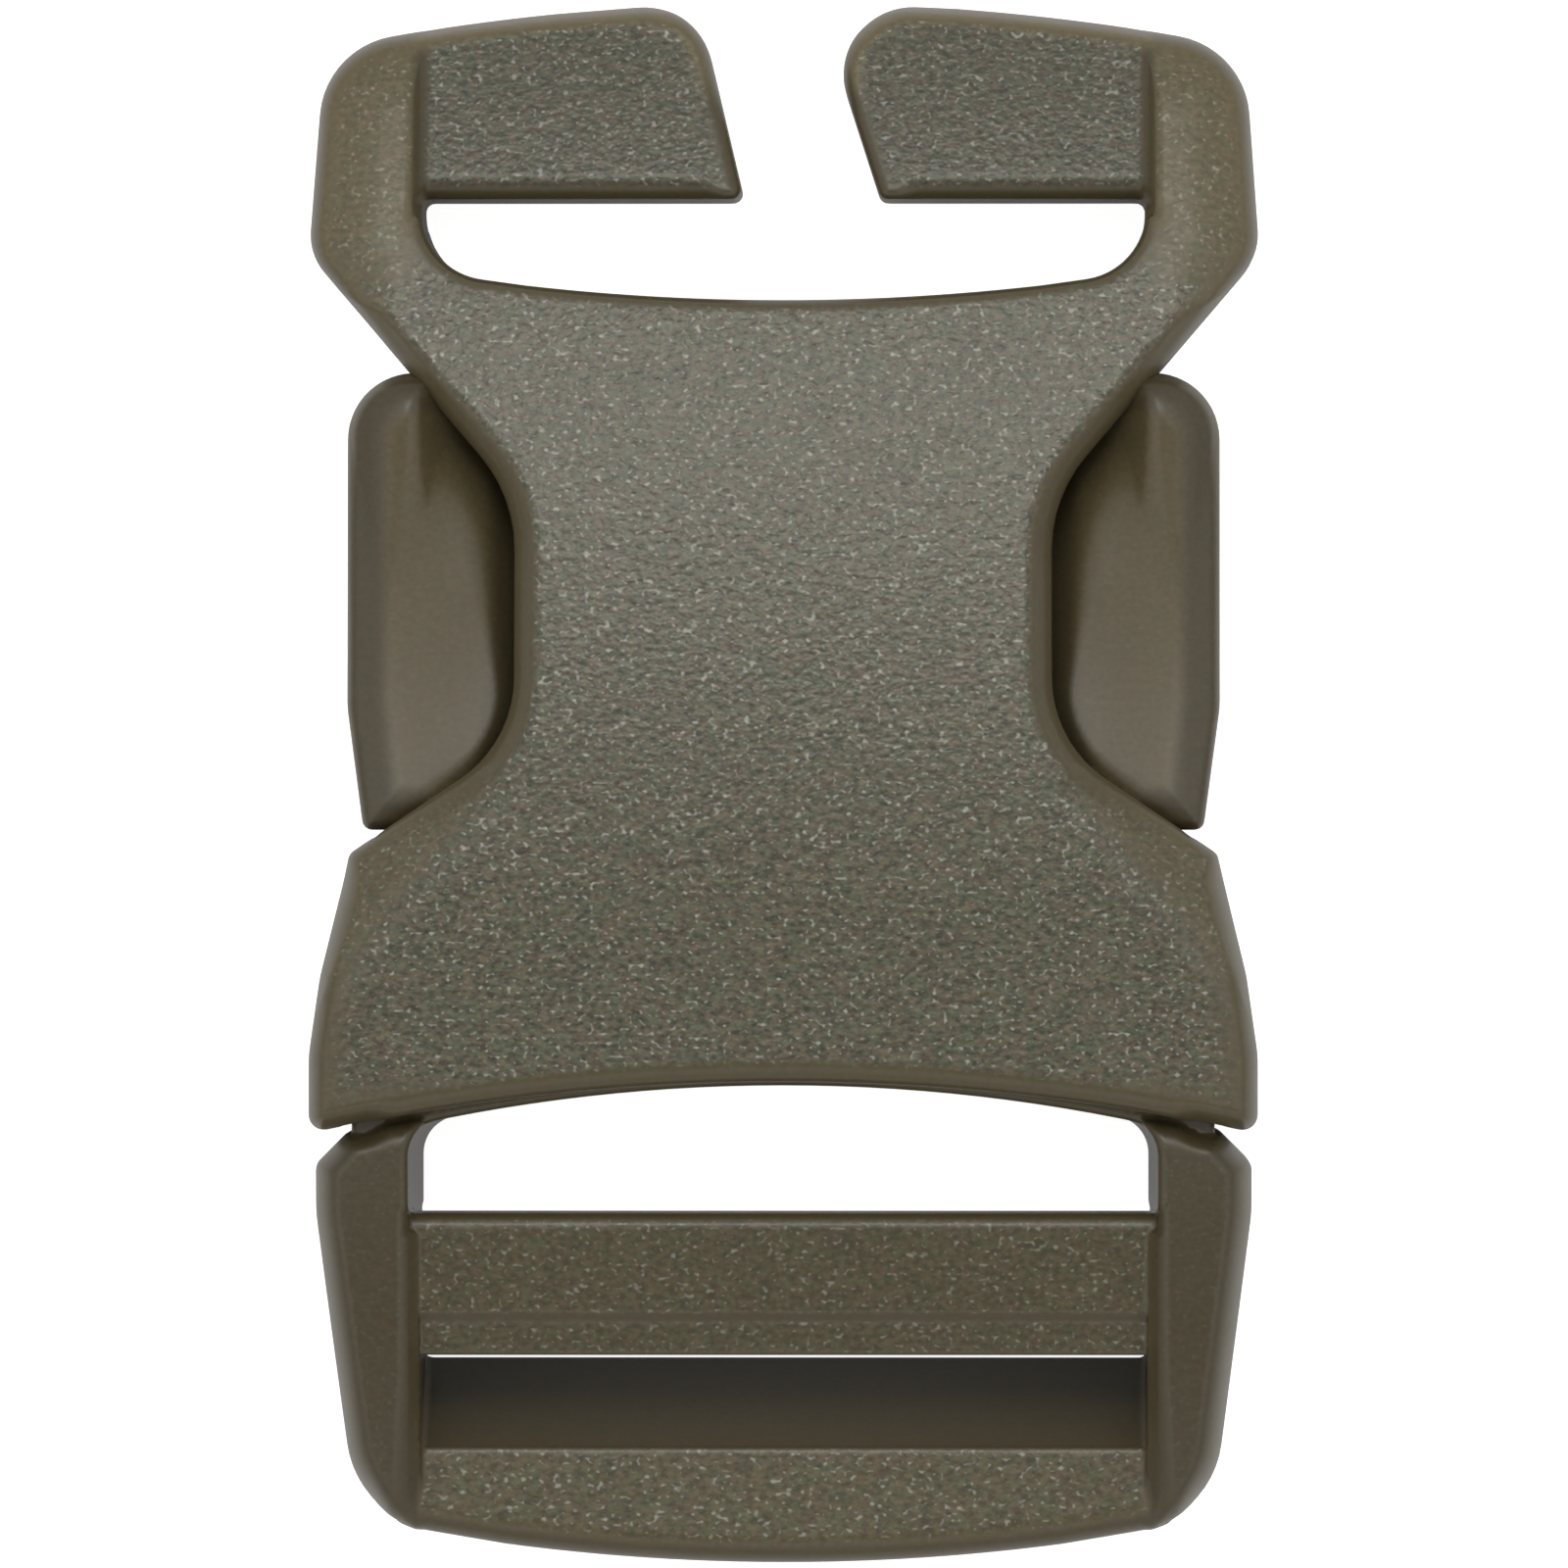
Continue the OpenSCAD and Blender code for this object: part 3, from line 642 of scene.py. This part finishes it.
def net(field, low, high):
    """Points and quads of the field's surface, one point in each grid cell that it passes."""
    margin = 2.3 * GRID
    low = low - margin
    count = np.ceil((high + margin - low) / GRID).astype(int) + 1
    x, y, z = [(low[i] + GRID * np.arange(count[i])).astype(np.float32) for i in range(3)]
    value = field(x[:, None, None], y[None, :, None], z[None, None, :]).astype(np.float32)
    inside = value < 0
    cells = tuple(c - 1 for c in count)
    full = np.ones(cells, bool)
    some = np.zeros(cells, bool)
    for i, j, k in NET_CORNERS:
        part = inside[i:i + cells[0], j:j + cells[1], k:k + cells[2]]
        full &= part
        some |= part
    cell = np.argwhere(some & ~full)
    number = np.full(cells, -1)
    number[tuple(cell.T)] = np.arange(len(cell))
    at = [value[tuple((cell + c).T)] for c in NET_CORNERS]
    total, crossings = np.zeros((len(cell), 3)), np.zeros(len(cell))
    for a, b in NET_EDGES:
        crosses = (at[a] < 0) != (at[b] < 0)
        t = np.where(crosses, at[a] / np.where(crosses, at[a] - at[b], 1), 0)[:, None]
        total += np.where(crosses[:, None], NET_CORNERS[a] * (1 - t) + NET_CORNERS[b] * t, 0)
        crossings += crosses
    points = low + GRID * (cell + total / crossings[:, None])
    quads = []
    for axis in range(3):
        b, c = (axis + 1) % 3, (axis + 2) % 3
        first = [slice(None)] * 3
        second = [slice(None)] * 3
        first[axis], second[axis] = slice(0, -1), slice(1, None)
        change = inside[tuple(first)] != inside[tuple(second)]
        where = np.argwhere(change)
        where = where[(where[:, b] > 0) & (where[:, c] > 0)]
        leaves = inside[tuple(where.T)]
        ring = []
        for db, dc in ((-1, -1), (0, -1), (0, 0), (-1, 0)):
            corner = where.copy()
            corner[:, b] += db
            corner[:, c] += dc
            ring.append(number[tuple(corner.T)])
        ring = np.stack(ring, 1)
        ring[~leaves] = ring[~leaves][:, ::-1]
        quads.append(ring)
    return points, np.concatenate(quads)


def thin_out(mesh_object):
    """Thins the mesh to the limit of triangles, where it is flattest first."""
    triangles = sum(len(p.vertices) - 2 for p in mesh_object.data.polygons)
    if triangles <= TRIANGLE_LIMIT:
        return
    thin = mesh_object.modifiers.new("thin", "DECIMATE")
    thin.ratio = TRIANGLE_LIMIT / triangles
    thin.use_collapse_triangulate = True
    bpy.context.view_layer.objects.active = mesh_object
    bpy.ops.object.modifier_apply(modifier=thin.name)


def moulding(node, field, grain, painted_light, material):
    """The visible piece of a node, made from its field, with its grain and its painted light and shade
    worked out from each point and its normal."""
    low, high = [np.array(corner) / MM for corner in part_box(node)]
    points, quads = net(field, low, high)
    points = settle(field, points, 2)
    mesh = bpy.data.meshes.new(node + "_moulding")
    mesh.from_pydata(points * MM, [], quads)
    piece = bpy.data.objects.new(mesh.name, mesh)
    bpy.context.scene.collection.objects.link(piece)
    thin_out(piece)
    mesh = piece.data
    flat = np.empty(len(mesh.vertices) * 3, np.float32)
    mesh.vertices.foreach_get("co", flat)
    points = settle(field, flat.reshape(-1, 3) / MM, 2)
    mesh.vertices.foreach_set("co", (points * MM).astype(np.float32).ravel())
    normals = slope_of(field, points)[1]
    normals /= np.maximum(np.linalg.norm(normals, axis=1, keepdims=True), 1e-9)
    mesh.polygons.foreach_set("use_smooth", np.ones(len(mesh.polygons), bool))
    for kind, rule in (("grain", grain), ("painted_light", painted_light)):
        attribute = mesh.attributes.new(kind, "FLOAT", "POINT")
        attribute.data.foreach_set("value", rule(*points.T, normals).astype(np.float32))
    mesh.update()
    mesh.normals_split_custom_set_from_vertices(normals)
    mesh.materials.append(material)
    return piece


def socket_grain(x, y, z, normals):
    """How coarse the socket's surface is: 1 on the eroded faces, less on rails, 0 on smooth bevels."""
    rail_grain, shoulder_grain = 0.4, 0.45
    smooth_rim, fade, mouth_fade = 0.4, 0.55, 0.9
    inwards = -socket_plan(x, y)
    up = np.abs(normals[:, 2])
    facing = ease(up, 0.86, 0.95)
    ax = np.abs(x)
    at_slot = ease(y, SLOT_Y - 2.725, SLOT_Y - 1.225) * (1 - ease(ax, SLOT_X - 1, SLOT_X + 0.5))
    at_mouth = (1 - ease(y, SHOULDER_Y - 1, SHOULDER_Y + 1)) * ease(ax, SLOT_X - 2, SLOT_X + 1)
    on_plate = facing * ease(inwards - smooth_rim * (1 - at_slot), 0.15, fade + mouth_fade * at_mouth)
    on_rail = rail_grain * ease(up, 0.6, 0.85) * ease(inwards, 0.3, 1.2)
    on_arm = facing * ease(inwards, 0.35, 0.7)
    on_shoulder = shoulder_grain * ease(up, 0.7, 0.85) * ease(inwards, 0.2, 0.6)
    rail = (ax >= STEP_X) & (y > SLOT_Y + 0.5)
    arm = (ax < STEP_X) & (y > BAR_Y - 0.4)
    shoulder = (y < SHOULDER_Y + 3.125) & (crease_place(x, y)[1] > 0) & (ax > WAIST_X)
    grain = np.where(rail, on_rail, on_plate)
    return np.where(shoulder, on_shoulder, np.where(arm, on_arm, grain))


def socket_painted_light(x, y, z, normals):
    """Painted light and shade on the socket's colour. On faces that look up, the rails and the shoulders
    are painted lighter than the plate and the arms a little darker; the arms' outer rim near their top edge
    gets a painted highlight."""
    # Painted lighter rails and shoulders, painted darker arms and a painted highlight along the arms' outer
    # rim
    rail_more, arm_painted_shade, shoulder_painted_light, rim_painted_highlight = 0.42, 0.18, 0.16, 0.5
    edge = socket_plan(x, y)
    beside = ease(np.abs(x), STEP_X - 0.1, STEP_X + 0.3)
    rail = beside * ease(y, SLOT_Y - 2.725, SLOT_Y + 3.775)
    arm = (1 - beside) * ease(y, BAR_Y - 0.6, BAR_Y)
    shoulder = (1 - ease(y, SHOULDER_Y, SHOULDER_Y + 3)) * ease(crease_place(x, y)[1], -0.2, 0.3)
    rim = ease(edge, -1, -0.55) * mix(1, 0.3, ease(edge, -0.4, -0.05))
    rim = rim * ease(y, BAR_Y + 3, BAR_Y + 5) * (1 - rail)
    level = ease(normals[:, 2], 0.35, 0.7)
    on_top = rail_more * rail - arm_painted_shade * arm * (1 - rim) + shoulder_painted_light * shoulder
    return 1 + on_top * level + rim_painted_highlight * rim


def plug_painted_light(x, y, z, normals):
    """Painted light and shade on the plug's colour, on faces that look up: the buttons inside their bevel
    and the tab bar's top are painted lighter than the ladder bar, and the bevel, the tab bar's slope and
    the rails are painted darker."""
    # Painted light above 1 and painted shade below 1; the ladder bar is left as it is
    button_painted_light, bevel_painted_shade, tab_top_painted_light, slope_painted_shade, rail_painted_shade, ladder_painted_light = 1.22, 0.76, 1.18, 0.9, 0.81, 1.0
    between = np.abs(x) < STEP_X
    up = ease(normals[:, 2], 0.82, 0.95)
    on_button = mix(button_painted_light, bevel_painted_shade, ease(prong_plan(np.abs(x), y), -1.7, -1))
    on_frame = np.where(between & (y < TAB_Y - 2), mix(slope_painted_shade, tab_top_painted_light, up), rail_painted_shade)
    on_frame = np.where(between & (y > TAB_Y), ladder_painted_light, on_frame)
    return mix(1, np.where(y > LIP_Y, on_button, on_frame), ease(normals[:, 2], 0.35, 0.7))


def plug_grain(x, y, z, normals):
    """How coarse the plug's surface is: most on its bars, least on its buttons, and -1 on the polished
    side walls of the window."""
    tab_grain, ladder_grain, rail_grain, button_grain, polished = 0.68, 0.55, 0.1, 0.03, -1
    ax = np.abs(x)
    up = np.abs(normals[:, 2])
    facing = ease(up, 0.9, 0.97)
    on_tab = tab_grain * facing * ease(-frame_plan(x, y), 0.5, 1.1)
    on_ladder = ladder_grain * ease(up, 0.8, 0.97)
    on_bars = np.where(y < TAB_Y, on_tab, on_ladder)
    elsewhere = np.where(y < LIP_Y, rail_grain * facing, button_grain)
    bars = (ax < SLOT_X) & (y < WINDOW_Y + 0.2)
    wall = (np.abs(ax - SLOT_X + 0.3) < 0.9) & (up < 0.3) & (y > WINDOW_Y - 0.3) & (y < BASE_Y)
    return np.where(bars, on_bars, np.where(wall, polished, elsewhere))


# Materials

def ranged(nodes, links, source, low, high, to_low=0.0, to_high=1.0):
    """The source's value, taken from the range low to high to the range to_low to to_high."""
    node = nodes.new("ShaderNodeMapRange")
    node.inputs["From Min"].default_value = low
    node.inputs["From Max"].default_value = high
    node.inputs["To Min"].default_value = to_low
    node.inputs["To Max"].default_value = to_high
    links.new(source, node.inputs["Value"])
    return node.outputs["Result"]


def blend(nodes, links, kind, factor, a, b):
    """Two colours mixed by a factor; each is a colour or an output of another node."""
    node = nodes.new("ShaderNodeMix")
    node.data_type = "RGBA"
    node.blend_type = kind
    for socket, value in (("Factor", factor), ("A", a), ("B", b)):
        if isinstance(value, tuple):
            node.inputs[socket].default_value = (*value, 1)
        elif isinstance(value, float):
            node.inputs[socket].default_value = value
        else:
            links.new(value, node.inputs[socket])
    return node.outputs["Result"]


def vertex_value(nodes, kind):
    """The grain or the painted light and shade that the mesh carries."""
    node = nodes.new("ShaderNodeAttribute")
    node.attribute_name = kind
    return node.outputs["Fac"]


def noise(nodes, links, place, scale, detail):
    """Soft noise at a place, with its scale for one unit of the place."""
    node = nodes.new("ShaderNodeTexNoise")
    node.inputs["Scale"].default_value = scale
    node.inputs["Detail"].default_value = detail
    node.inputs["Roughness"].default_value = 0.5
    links.new(place, node.inputs["Vector"])
    return node.outputs["Fac"]


def plastic(name, smooth, coarse):
    """Olive moulded plastic: satin where it is smooth, and with a fine grain where it is coarse, which
    sparkles from its bumps and from pale glints painted into its colour. The scales are those of noise with
    its place in millimetres, stretched a little across the buckle."""
    across_scale, along_scale = 0.86, 1.04
    pit_scale, pit_depth, shade_scale, painted_glint_scale, tint_scale = 3.9, 0.034 * MM, 4.7, 5.9, 2.6
    shade_range, painted_glint_range, tint_range = (0.3, 0.7), (0.64, 0.84), (0.34, 0.66)
    least_bump, least_tint, least_shade = 0.04, 0.25, 0.15
    dark, light = (0.58, 0.58, 0.58), (1.46, 1.46, 1.46)
    greenish, reddish = (0.87, 1.05, 1.0), (1.13, 0.95, 1.0)
    # Colour of the painted glints
    painted_glint_colour = (0.33, 0.325, 0.28)
    polished_roughness, smooth_roughness, coarse_roughness = 0.14, 0.34, 0.31
    material = bpy.data.materials.new(name)
    material.use_nodes = True
    nodes, links = material.node_tree.nodes, material.node_tree.links
    shader = nodes["Principled BSDF"]
    shader.inputs["IOR"].default_value = 1.52

    coordinates = nodes.new("ShaderNodeTexCoord")
    place = nodes.new("ShaderNodeMapping")
    place.inputs["Scale"].default_value = (across_scale / MM, along_scale / MM, 1 / MM)
    links.new(coordinates.outputs["Object"], place.inputs["Vector"])
    place = place.outputs["Vector"]
    grain, painted_light = [vertex_value(nodes, kind) for kind in ("grain", "painted_light")]

    bump = nodes.new("ShaderNodeBump")
    bump.inputs["Distance"].default_value = pit_depth
    links.new(ranged(nodes, links, grain, 0, 1, least_bump, 1), bump.inputs["Strength"])
    links.new(noise(nodes, links, place, pit_scale, 1), bump.inputs["Height"])
    links.new(bump.outputs["Normal"], shader.inputs["Normal"])

    shade = ranged(nodes, links, noise(nodes, links, place, shade_scale, 1), *shade_range)
    shade = blend(nodes, links, "MIX", shade, dark, light)
    # Painted glints: pale specks where the grain is coarse, standing in for sparkle
    fine = ranged(nodes, links, noise(nodes, links, place, painted_glint_scale, 0), *painted_glint_range)
    painted_glint = nodes.new("ShaderNodeMath")
    painted_glint.operation = "MULTIPLY"
    links.new(fine, painted_glint.inputs[0])
    links.new(grain, painted_glint.inputs[1])
    painted_glint = painted_glint.outputs["Value"]

    tint = ranged(nodes, links, noise(nodes, links, place, tint_scale, 2), *tint_range)
    tint = blend(nodes, links, "MIX", tint, greenish, reddish)
    colour = blend(nodes, links, "MIX", grain, smooth, coarse)
    for least, pattern in ((least_tint, tint), (least_shade, shade)):
        amount = ranged(nodes, links, grain, 0, 1, least, 1)
        colour = blend(nodes, links, "MULTIPLY", amount, colour, pattern)
    # The painted glints lighten the colour
    colour = blend(nodes, links, "MIX", painted_glint, colour, painted_glint_colour)
    # The painted light and shade from the mesh brighten or darken the colour
    colour = blend(nodes, links, "MULTIPLY", 1.0, colour, painted_light)
    links.new(colour, shader.inputs["Base Color"])

    # Roughness over the grain, from -1, polished, through 0, smooth, to 1, coarse
    roughness = nodes.new("ShaderNodeFloatCurve")
    curve = roughness.mapping.curves[0]
    curve.points[0].location = (0, polished_roughness)
    curve.points[1].location = (1, coarse_roughness)
    curve.points.new(0.5, smooth_roughness)
    curve.points[1].handle_type = "VECTOR"
    roughness.mapping.update()
    links.new(ranged(nodes, links, grain, -1, 1), roughness.inputs["Value"])
    links.new(roughness.outputs["Value"], shader.inputs["Roughness"])
    return material


socket_material = plastic("socket_moulded", smooth=(0.093, 0.074, 0.037), coarse=(0.086, 0.078, 0.045))
plug_material = plastic("plug_moulded", smooth=(0.086, 0.067, 0.033), coarse=(0.085, 0.076, 0.044))

socket_piece = moulding("socket", socket_field, socket_grain, socket_painted_light, socket_material)
plug_piece = moulding("plug", plug_field, plug_grain, plug_painted_light, plug_material)
for piece, node in ((socket_piece, "socket"), (plug_piece, "plug")):
    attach(piece, "root")
    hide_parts(node)


# Stage, light and camera

def white_sheet(name, z, glow):
    """A square white sheet of the table at the height z, which shines by itself with the radiance glow."""
    half = 0.6
    corners = [(-half, -half, z), (half, -half, z), (half, half, z), (-half, half, z)]
    mesh = bpy.data.meshes.new(name)
    mesh.from_pydata(corners, [], [(0, 1, 2, 3)])
    sheet = bpy.data.objects.new(name, mesh)
    bpy.context.scene.collection.objects.link(sheet)
    material = bpy.data.materials.new(name)
    material.use_nodes = True
    shader = material.node_tree.nodes["Principled BSDF"]
    shader.inputs["Base Color"].default_value = (0.85, 0.85, 0.85, 1)
    shader.inputs["Roughness"].default_value = 0.9
    shader.inputs["Emission Color"].default_value = (1, 1, 1, 1)
    shader.inputs["Emission Strength"].default_value = glow
    mesh.materials.append(material)
    return sheet


def white_table():
    """Two sheets: the top shines so that it stays white in the openings, and lights nothing; the one under
    it, which the camera doesn't see, throws back the light that a white table does."""
    gap = 0.1 * MM
    top = white_sheet("table_top", 0, glow=0.9)
    top.visible_diffuse = top.visible_glossy = top.visible_shadow = False
    under = white_sheet("table_under", -gap, glow=0.1)
    under.visible_camera = False


def softbox(name, place, size, strength):
    """A rectangular light of the given radiance that faces the buckle."""
    light = bpy.data.lights.new(name, "AREA")
    light.shape = "RECTANGLE"
    light.size, light.size_y = size
    light.energy = strength * size[0] * size[1] * math.pi
    light.color = (1, 0.985, 0.94)
    lamp = bpy.data.objects.new(name, light)
    lamp.location = place
    lamp.rotation_euler = (-lamp.location).to_track_quat("-Z", "Y").to_euler()
    bpy.context.scene.collection.objects.link(lamp)


def tent(zenith, horizon, patch):
    """A white tent round the table, dimmer towards its foot, with a dark patch high in the south."""
    patch_way, patch_inner, patch_outer = (0, -0.34, 0.94), 0.20, 0.35
    world = bpy.data.worlds.new("tent")
    world.use_nodes = True
    nodes, links = world.node_tree.nodes, world.node_tree.links
    way = nodes.new("ShaderNodeTexCoord").outputs["Generated"]
    parts = nodes.new("ShaderNodeSeparateXYZ")
    links.new(way, parts.inputs["Vector"])
    height = ranged(nodes, links, parts.outputs["Z"], 0.1, 0.8, horizon, zenith)
    apart = nodes.new("ShaderNodeVectorMath")
    apart.operation = "DISTANCE"
    apart.inputs[1].default_value = patch_way
    links.new(way, apart.inputs[0])
    outside = ranged(nodes, links, apart.outputs["Value"], patch_inner, patch_outer, patch, 1)
    strength = nodes.new("ShaderNodeMath")
    strength.operation = "MULTIPLY"
    links.new(height, strength.inputs[0])
    links.new(outside, strength.inputs[1])
    links.new(strength.outputs["Value"], nodes["Background"].inputs["Strength"])
    nodes["Background"].inputs["Color"].default_value = (1, 1, 1, 1)
    bpy.context.scene.world = world


def photo_camera():
    """The photograph's camera: above the buckle, a little to the right, with a long lens."""
    sensor, distance, across = 36, 0.65, 0.05637
    place_x, place_y, above_table = 0.008, -0.00013, 0.006
    camera = bpy.data.cameras.new("camera")
    camera.sensor_width = sensor
    camera.lens = sensor * distance / across
    camera.clip_end = 5
    holder = bpy.data.objects.new("camera", camera)
    holder.location = (place_x, place_y, distance + above_table)
    bpy.context.scene.collection.objects.link(holder)
    holder.rotation_euler = (0, math.atan2(holder.location.x, distance), 0)
    bpy.context.scene.camera = holder


white_table()
softbox("north_softbox", place=(0, 0.2, 0.468), size=(0.17, 0.15), strength=4.55)
tent(zenith=0.93, horizon=0.42, patch=0.10)
photo_camera()
bpy.context.scene.view_settings.view_transform = "Standard"
